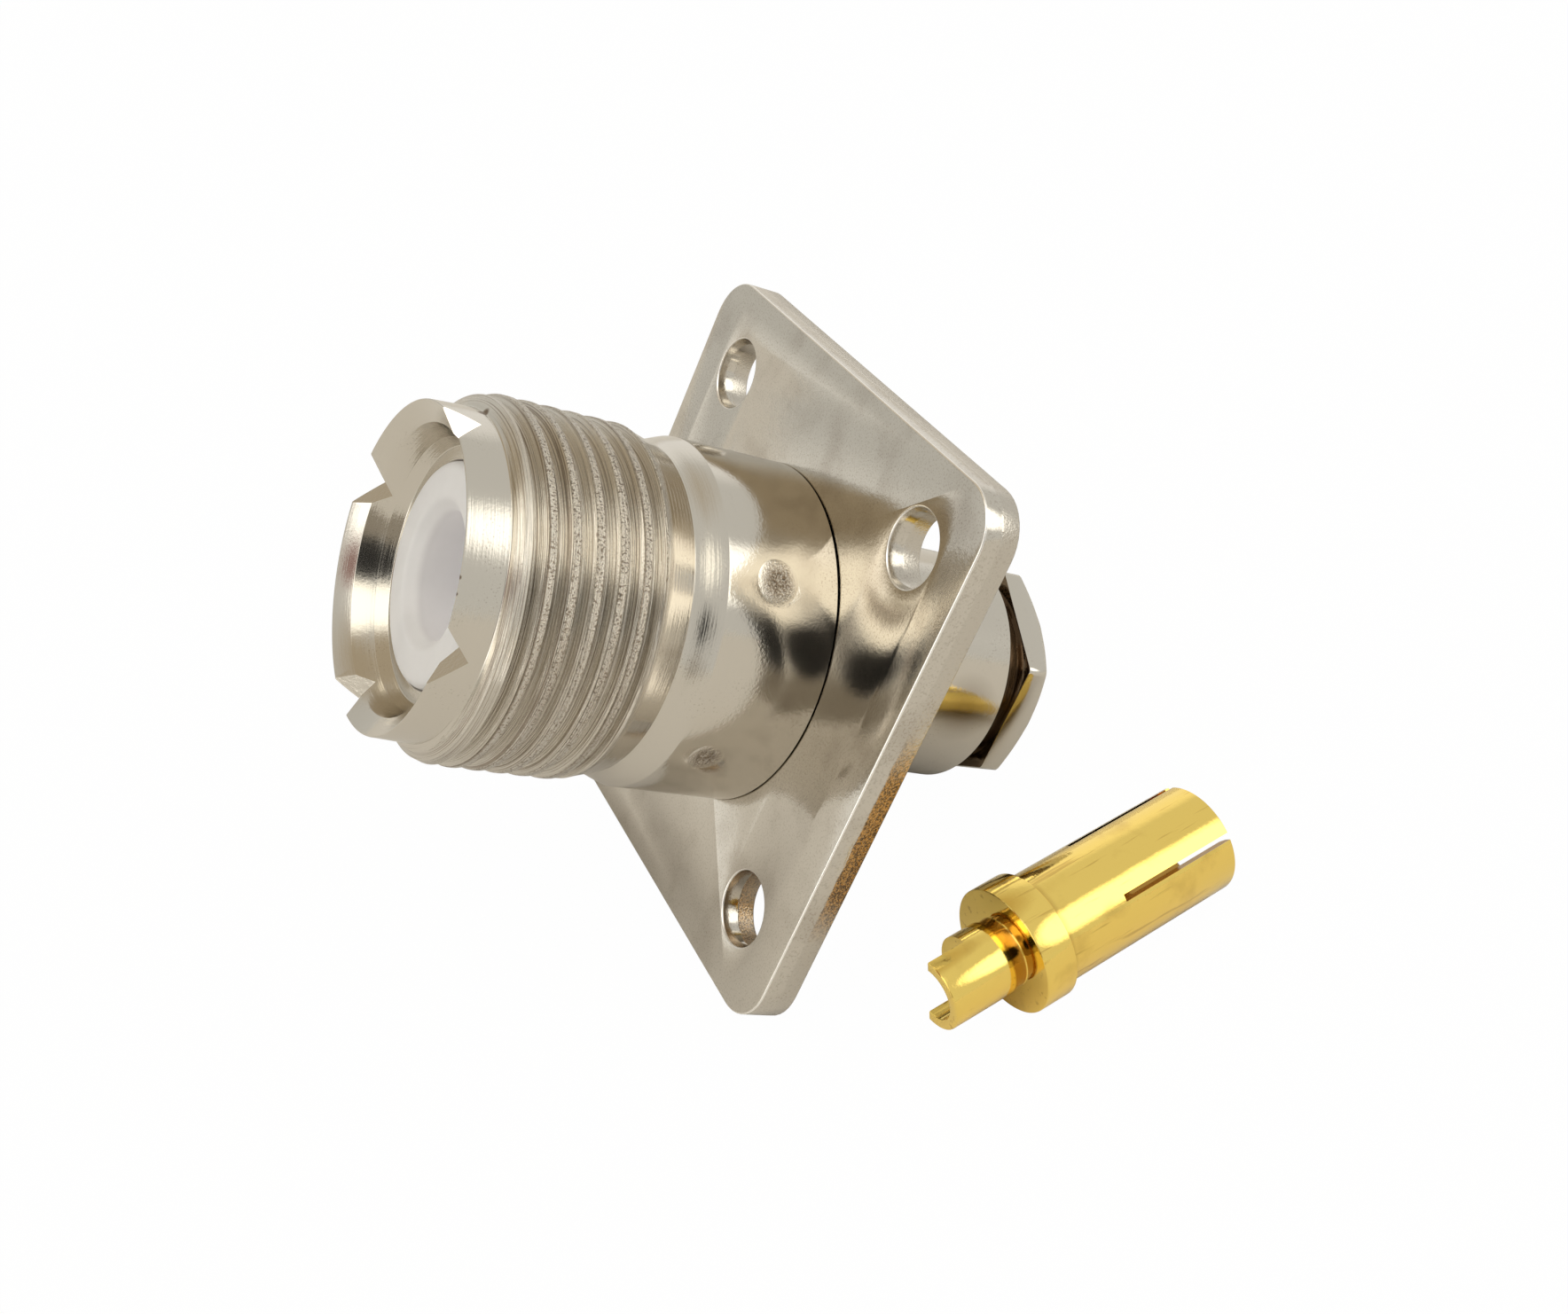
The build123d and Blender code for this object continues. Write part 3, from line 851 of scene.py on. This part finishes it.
class Finish:
    """One Principled material whose pattern lies in a piece's own frame."""

    def __init__(self, name, place, **values):
        self.material = bpy.data.materials.new(name)
        self.material.use_nodes = True
        tree = self.material.node_tree
        tree.nodes.clear()
        self.nodes = Nodes(tree)
        self.output = self.nodes.add("ShaderNodeOutputMaterial").inputs[0]
        self.shader = self.nodes.add("ShaderNodeBsdfPrincipled")
        self.nodes.join(self.shader.outputs[0], self.output)
        for socket, value in values.items():
            self.shader.inputs[socket.replace("_", " ")].default_value = value
        own = self.nodes.add("ShaderNodeTexCoord").outputs["Object"]
        lies = (place.to_translation(), place.to_euler())
        mapping = self.nodes.add("ShaderNodeMapping", own, *lies, vector_type="TEXTURE")
        self.place = mapping.outputs[0]

    def effect(self, group, **values):
        node = self.nodes.add("ShaderNodeGroup", node_tree=bpy.data.node_groups[group])
        for socket, value in values.items():
            node.inputs[socket.replace("_", " ")].default_value = value
        self.nodes.join(self.place, node.inputs["Place"])
        return node.outputs

    def spots(self, softness, spots):
        """The highest of several round masks, each given by its centre and its radius in mm."""
        masks = []
        for centre, radius in spots:
            place = [value * MM for value in centre]
            mask = self.effect("spot_mask", Centre=place, Radius=radius * MM, Softness=softness)["Mask"]
            masks.append((mask, 1.0))
        return self.nodes.most(*masks)

    def feed(self, output, socket):
        self.nodes.join(output, self.shader.inputs[socket])

    def bump(self, *layers):
        """Bump from pairs of height and distance, laid over each other."""
        normal = None
        for output, distance in layers:
            node = self.nodes.add("ShaderNodeBump")
            node.inputs["Distance"].default_value = distance
            self.nodes.join(output, node.inputs["Height"])
            if normal is not None:
                self.nodes.join(normal, node.inputs["Normal"])
            normal = node.outputs[0]
        self.feed(normal, "Normal")


def turned_nickel(colours):
    """Nickel plate over turned brass: fine lines, rough stake marks, brown in the thread, painted shade in
    the gap between the rear barrel and the nut, and a painted reflection of the contact on the rear barrel.
    """
    finish = Finish("nickel_turned", JACK, Metallic=1.0)
    nodes = finish.nodes
    pitch = bpy.context.scene.jack_sizes.thread_pitch
    barrel = MOUNTS["coupling_thread"]["dims"]["r_mm"]
    lines = finish.effect("turned_lines", Fineness=9000.0, Wander=90.0)
    grain = finish.effect("plate_grain", Pit_Scale=7000.0, Cloud_Scale=420.0)
    flecks = finish.effect("plate_grain", Pit_Scale=11000.0, Cloud_Scale=1500.0)
    streaks = finish.effect("thread_streaks", Pitch=pitch, Fineness=4.0)["Streaks"]
    z = nodes.split(finish.place)[2]
    radius = nodes.radius(finish.place)
    length_of_thread = nodes.band(z, (8.0, 8.5), (14.9, 15.0))
    threaded = nodes.scaled(length_of_thread, nodes.between(radius, 7.1 * MM, 7.2 * MM))
    crest = nodes.scaled(threaded, nodes.between(radius, 7.82 * MM, 7.88 * MM))
    ahead_of_barrel = nodes.between(z, 5.3 * MM, 5.9 * MM)
    # Painted shade: the nut's front face and shank, in the gap behind the rear barrel, are made brown.
    nut_gap_shade = nodes.band(z, (-13.03, -13.005), (-12.0, -11.95))
    stains = []
    for level, turn, *_, size in STAKES:
        stains.append(((barrel * cos(radians(turn)), barrel * sin(radians(turn)), level), size))
    marks = finish.spots(0.6, stains)
    worn = nodes.scaled(nodes.between(streaks, 0.54, 0.59), threaded)
    specks = nodes.scaled(grain["Sparkle"], nodes.between(grain["Clouds"], 0.5, 0.7))
    crumbs = nodes.scaled(nodes.between(flecks["Pits"], 0.55, 0.6), crest)
    burnt = nodes.scaled(marks, nodes.between(flecks["Pits"], 0.35, 0.6, 0.2, 0.85))
    # Painted reflection: a soft brown spot on the rear barrel, where it mirrors the gold contact lying
    # beside it.
    nicks, barrel_reflection = finish.spots(0.4, NICKS), finish.spots(0.8, [BARREL_REFLECTION_SPOT])
    shares = (worn, 0.6), (specks, 0.4), (crumbs, 0.7), (burnt, 1.0), (nicks, 0.95), (nut_gap_shade, 0.8)
    brown = nodes.most(*shares, (barrel_reflection, 0.5))
    finish.feed(nodes.mix(brown, colours.nickel, colours.nickel_stain_and_shade), "Base Color")
    relief = nodes.math("SUBTRACT", ahead_of_barrel, threaded)
    finish.feed(nodes.plus(0.07, (relief, 0.05), (grain["Clouds"], 0.08), (marks, 0.15)), "Roughness")
    finish.bump(
        (nodes.scaled(lines["Lines"], nodes.math("ADD", 0.06, ahead_of_barrel)), 6 * MICRON),
        (nodes.scaled(grain["Pits"], nodes.math("ADD", 0.12, marks)), 30 * MICRON),
        (nodes.scaled(streaks, threaded), 55 * MICRON),
        (nodes.scaled(flecks["Pits"], nodes.math("ADD", crest, marks)), 60 * MICRON),
    )
    return finish.material


def plate_nickel(colours):
    """Nickel plate on the stamped flange: a mirror with fine pits, rough where the punch sheared, a painted
    reflection of the gold contact on the sheared side and a painted highlight along the front edges.
    """
    finish = Finish("nickel_plate", JACK, Metallic=1.0)
    nodes = finish.nodes
    grain = finish.effect("plate_grain", Pit_Scale=3800.0, Cloud_Scale=330.0)
    fine = finish.effect("plate_grain", Pit_Scale=11000.0, Cloud_Scale=1400.0)
    z = nodes.split(finish.place)[2]
    break_line = nodes.plus(z, (fine["Clouds"], 0.25 * MM))
    below_break = nodes.between(break_line, -0.8 * MM, -0.7 * MM, 1.0, 0.0)
    sheared = nodes.scaled(below_break, nodes.between(z, -1.74 * MM, -1.68 * MM))
    # Painted reflection: orange and brown mottle in round spots on the plate's rough shear zone, where it
    # mirrors the gold contact lying beside it.
    plate_reflection = nodes.scaled(finish.spots(0.45, PLATE_REFLECTION_SPOTS), sheared)
    mottle = nodes.between(fine["Pits"], 0.4, 0.62)
    warm = nodes.mix(mottle, colours.contact_reflection_tint, colours.nickel_stain_and_shade)
    clouded = nodes.between(grain["Clouds"], 0.46, 0.7)
    freckled = nodes.between(fine["Pits"], 0.52, 0.66)
    brown = nodes.most((nodes.plus(0.0, (clouded, 0.2), (freckled, 0.22)), 1.0), (sheared, 0.1))
    plain = nodes.mix(brown, colours.nickel, colours.nickel_stain_and_shade)
    # Painted highlight: a near-white band along the plate's front edges.
    edge = nodes.band(z, (-0.1, -0.07), (-0.015, -0.004))
    coated = nodes.mix(nodes.scaled(plate_reflection, 0.9), plain, warm)
    finish.feed(nodes.mix(edge, coated, colours.painted_edge_highlight), "Base Color")
    finish.feed(nodes.plus(0.08, (grain["Clouds"], 0.1), (edge, 0.22), (sheared, 0.1)), "Roughness")
    finish.bump(
        (grain["Pits"], 4 * MICRON),
        (grain["Clouds"], 12 * MICRON),
        (fine["Pits"], 2 * MICRON),
        (nodes.scaled(fine["Pits"], nodes.plus(plate_reflection, (sheared, 0.35))), 40 * MICRON),
    )
    return finish.material


def gold_plate(colours):
    """Bright gold plate with dark drawn streaks along the socket, and painted shade in its bore and slots,
    in the neck groove and in the corner by the collar.
    """
    finish = Finish("gold_plate", SOCKET, Metallic=1.0)
    nodes = finish.nodes
    lines = finish.effect("turned_lines", Fineness=7000.0, Wander=40.0)
    grain = finish.effect("plate_grain", Pit_Scale=5200.0, Cloud_Scale=500.0)
    z = nodes.split(finish.place)[2]
    radius = nodes.radius(finish.place)
    in_socket = nodes.between(z, -5.5 * MM, -5.4 * MM)
    # Painted shade inside the socket's bore and slots.
    bore = nodes.scaled(in_socket, nodes.between(radius, 2.5 * MM, 2.56 * MM, 1.0, 0.0))
    behind_collar = nodes.between(z, -7.3 * MM, -7.2 * MM, 1.0, 0.0)
    face = nodes.scaled(behind_collar, nodes.between(radius, 1.75 * MM, 1.8 * MM))
    near_socket = nodes.between(radius, 2.72 * MM, 2.8 * MM, 1.0, 0.0)
    # Painted shade in the corner where the socket meets the collar.
    step = nodes.scaled(nodes.band(z, (-5.63, -5.6), (-5.35, -5.0)), near_socket)
    # Painted shade in the neck groove behind the collar.
    groove = nodes.band(z, (-7.95, -7.8), (-7.25, -7.15))
    clouded = nodes.between(grain["Clouds"], 0.55, 0.75)
    drawn = nodes.vector("MULTIPLY", finish.place, (2600, 2600, 160))[0]
    streaks = nodes.between(nodes.noise(drawn, 1.0, 4.0, 0.6), 0.6, 0.68)
    shares = (clouded, 0.25), (groove, 0.8), (bore, 0.8), (face, 0.4), (streaks, 0.4), (step, 0.35)
    stain_and_shade = nodes.most(*shares)
    finish.feed(nodes.mix(stain_and_shade, colours.gold, colours.gold_stain_and_shade), "Base Color")
    finish.feed(nodes.plus(0.04, (grain["Clouds"], 0.08)), "Roughness")
    finish.bump((lines["Lines"], 1 * MICRON), (grain["Pits"], 3 * MICRON), (grain["Clouds"], 16 * MICRON))
    return finish.material


def white_sleeve(colours):
    """White fluoroplastic: smooth, waxy, lit through from its edges, with a painted glow deep in its bore.
    """
    finish = Finish(
        "white_sleeve",
        JACK,
        Roughness=0.45,
        Subsurface_Weight=0.35,
        Subsurface_Radius=(1.0, 0.95, 0.95),
        Subsurface_Scale=0.9 * MM,
        Emission_Strength=1.0,
    )
    nodes = finish.nodes
    lines = finish.effect("turned_lines", Fineness=5000.0, Wander=30.0)
    grain = finish.effect("plate_grain", Pit_Scale=2500.0, Cloud_Scale=300.0)
    shade = tuple(0.93 * value for value in colours.sleeve)
    tint = nodes.between(grain["Clouds"], 0.4, 0.7)
    finish.feed(nodes.mix(tint, colours.sleeve, shade), "Base Color")
    # Painted light: the sleeve glows inside its bore, more strongly deeper down.
    inside = nodes.between(nodes.split(finish.place)[2], 14.2 * MM, 15.2 * MM, 1.0, 0.0)
    finish.feed(nodes.mix(inside, (0, 0, 0), colours.painted_sleeve_glow), "Emission Color")
    finish.bump((lines["Lines"], 1.5 * MICRON))
    return finish.material


def black_rubber(colours):
    """Moulded rubber with a matt bloom."""
    finish = Finish("gasket_rubber", JACK, Roughness=0.8)
    nodes = finish.nodes
    grain = finish.effect("plate_grain", Pit_Scale=5000.0, Cloud_Scale=600.0)
    bloom = tuple(value + 0.04 for value in colours.rubber)
    finish.feed(nodes.mix(grain["Clouds"], colours.rubber, bloom), "Base Color")
    finish.bump((grain["Pits"], 8 * MICRON))
    return finish.material


def material(name, make):
    """The named material, made once."""
    found = bpy.data.materials.get(name)
    return found or make(bpy.context.scene.jack_colours)


def ensure_groups():
    """Builds each shared node group once."""
    makers = {
        "turned_lines": turned_lines_group,
        "plate_grain": plate_grain_group,
        "thread_streaks": thread_streaks_group,
        "spot_mask": spot_group,
        "room_panel": panel_group,
    }
    for name, make in makers.items():
        if name not in bpy.data.node_groups:
            make(name)


# Stage


def towards(azimuth, elevation):
    """Unit vector of a direction given in degrees, azimuth from +X towards +Y."""
    a, e = radians(azimuth), radians(elevation)
    return (cos(a) * cos(e), sin(a) * cos(e), sin(e))


def build_room(settings):
    """A pale room: soft panels of light and shade in its walls, and white behind the object."""
    world = bpy.data.worlds.new("room")
    bpy.context.scene.world = world
    world.use_nodes = True
    tree = world.node_tree
    tree.nodes.clear()
    nodes = Nodes(tree)
    direction = nodes.add("ShaderNodeTexCoord").outputs["Generated"]
    shade = (settings.room_level, settings.room_level * 0.985, settings.room_level * 0.93)
    group = bpy.data.node_groups["room_panel"]
    for (azimuth, elevation), core, edge, tint in ROOM_PANELS:
        rims = (cos(radians(core)), cos(radians(edge)))
        panel = nodes.add("ShaderNodeGroup", direction, towards(azimuth, elevation), *rims, node_tree=group)
        shade = nodes.mix(panel.outputs["Mask"], shade, tint)
    seen = nodes.add("ShaderNodeLightPath").outputs["Is Camera Ray"]
    background = nodes.add("ShaderNodeBackground", nodes.mix(seen, shade, (1, 1, 1)))
    nodes.add("ShaderNodeOutputWorld", background.outputs[0])


def build_floor(colours):
    """A plain pale floor that reads as white to the camera and keeps a soft shadow."""
    bm = bmesh.new()
    bmesh.ops.create_grid(bm, x_segments=40, y_segments=40, size=1.5)
    mesh = bpy.data.meshes.new("floor")
    bm.to_mesh(mesh)
    bm.free()
    floor = new_object("floor", mesh)
    floor.location = (0, 0, CAD_BOX[0].z - 0.02 * MM)
    finish = Finish("floor_paper", Matrix.Identity(4), Roughness=0.9, Specular_IOR_Level=0.0)
    nodes = finish.nodes
    fibres = nodes.between(nodes.noise(finish.place, 900.0, 3.0), 0.3, 0.7)
    darker = [0.99 * value for value in colours.floor]
    finish.feed(nodes.mix(fibres, colours.floor, darker), "Base Color")
    seen = nodes.add("ShaderNodeLightPath").outputs["Is Camera Ray"]
    glow = nodes.add("ShaderNodeEmission", (1, 1, 1, 1)).outputs[0]
    share = nodes.scaled(seen, 0.985)
    blend = nodes.add("ShaderNodeMixShader", share, finish.shader.outputs[0], glow)
    nodes.join(blend.outputs[0], finish.output)
    mesh.materials.append(finish.material)


def build_camera(settings):
    """The camera at the photograph's place, with its lens and its roll."""
    data = bpy.data.cameras.new("camera")
    data.sensor_width, data.lens = 36, settings.camera_lens
    data.clip_start, data.clip_end = MM, 10
    camera = new_object("camera", data)
    aim = Vector(settings.camera_aim).normalized().to_track_quat("-Z", "Y")
    camera.rotation_mode = "QUATERNION"
    camera.location = settings.camera_place
    camera.rotation_quaternion = aim @ Matrix.Rotation(settings.camera_roll, 3, "Z").to_quaternion()
    bpy.context.scene.camera = camera


# Operators


class JACK_OT_shell(bpy.types.Operator):
    """Add the turned shell with its thread and notched rim"""

    bl_idname = "jack.shell"
    bl_label = "Shell"

    def execute(self, context):
        piece = build_shell(context.scene.jack_sizes)
        add_piece(piece, "jack", "nickel", material("nickel_turned", turned_nickel), "shell")
        return {"FINISHED"}


class JACK_OT_flange(bpy.types.Operator):
    """Add the square flange with its four holes"""

    bl_idname = "jack.flange"
    bl_label = "Flange"

    def execute(self, context):
        piece = build_flange(context.scene.jack_sizes)
        add_piece(piece, "jack", "nickel", material("nickel_plate", plate_nickel), "flange")
        return {"FINISHED"}


class JACK_OT_insulators(bpy.types.Operator):
    """Add the white sleeve in the mouth and finish the plug behind it"""

    bl_idname = "jack.insulators"
    bl_label = "Insulators"

    def execute(self, context):
        white = material("white_sleeve", white_sleeve)
        add_piece(build_sleeve(context.scene.jack_sizes), "jack", "ptfe", white, "front_insulator")
        set_material(frame["nodes"]["rear_insulator"], white)
        return {"FINISHED"}


class JACK_OT_cable_clamp(bpy.types.Operator):
    """Add the clamp nut and finish the pieces that grip the cable inside the shell"""

    bl_idname = "jack.cable_clamp"
    bl_label = "Cable clamp"

    def execute(self, context):
        nickel = material("nickel_turned", turned_nickel)
        add_piece(build_nut(context.scene.nut_sizes), "nut", "nickel", nickel, "clamp_nut")
        rubber = material("gasket_rubber", black_rubber)
        for node, finish in (("braid_clamp", nickel), ("slip_washer", nickel), ("gasket", rubber)):
            set_material(frame["nodes"][node], finish)
        return {"FINISHED"}


class JACK_OT_contact(bpy.types.Operator):
    """Add the loose gold contact"""

    bl_idname = "jack.contact"
    bl_label = "Centre contact"

    def execute(self, context):
        piece = build_contact(context.scene.contact_sizes)
        add_piece(piece, "jack", "gold", material("gold_plate", gold_plate), "centre_contact")
        return {"FINISHED"}


class JACK_OT_stage(bpy.types.Operator):
    """Add the room, floor and camera"""

    bl_idname = "jack.stage"
    bl_label = "Stage"

    def execute(self, context):
        settings = context.scene.jack_stage
        build_room(settings)
        build_floor(context.scene.jack_colours)
        build_camera(settings)
        context.scene.view_settings.view_transform = "Standard"
        return {"FINISHED"}


class JACK_PT_looks(bpy.types.Panel):
    """Buttons and sizes of the jack's visible pieces"""

    bl_idname = "JACK_PT_looks"
    bl_label = "Panel Jack"
    bl_space_type = "VIEW_3D"
    bl_region_type = "UI"
    bl_category = "Jack"

    def draw(self, context):
        for operator in OPERATORS:
            self.layout.operator(operator.bl_idname)
        for group in SETTINGS:
            box = self.layout.box()
            owner = getattr(context.scene, group)
            for name in owner.__annotations__:
                box.prop(owner, name, text=name.replace("_", " ").capitalize())


OPERATORS = (
    JACK_OT_shell,
    JACK_OT_flange,
    JACK_OT_insulators,
    JACK_OT_cable_clamp,
    JACK_OT_contact,
    JACK_OT_stage,
)
SETTINGS = {
    "jack_sizes": JackSizes,
    "nut_sizes": NutSizes,
    "contact_sizes": ContactSizes,
    "jack_colours": FinishColours,
    "jack_stage": StageSettings,
}
CLASSES = (*SETTINGS.values(), *OPERATORS, JACK_PT_looks)


def register():
    for cls in CLASSES:
        bpy.utils.register_class(cls)
    for name, group in SETTINGS.items():
        setattr(bpy.types.Scene, name, PointerProperty(type=group))


def unregister():
    for name in SETTINGS:
        delattr(bpy.types.Scene, name)
    for cls in reversed(CLASSES):
        bpy.utils.unregister_class(cls)


def main():
    """Builds every piece and the stage."""
    register()
    ensure_groups()
    bpy.ops.jack.shell()
    bpy.ops.jack.flange()
    bpy.ops.jack.insulators()
    bpy.ops.jack.cable_clamp()
    bpy.ops.jack.contact()
    bpy.ops.jack.stage()


if __name__ == "__main__":
    main()
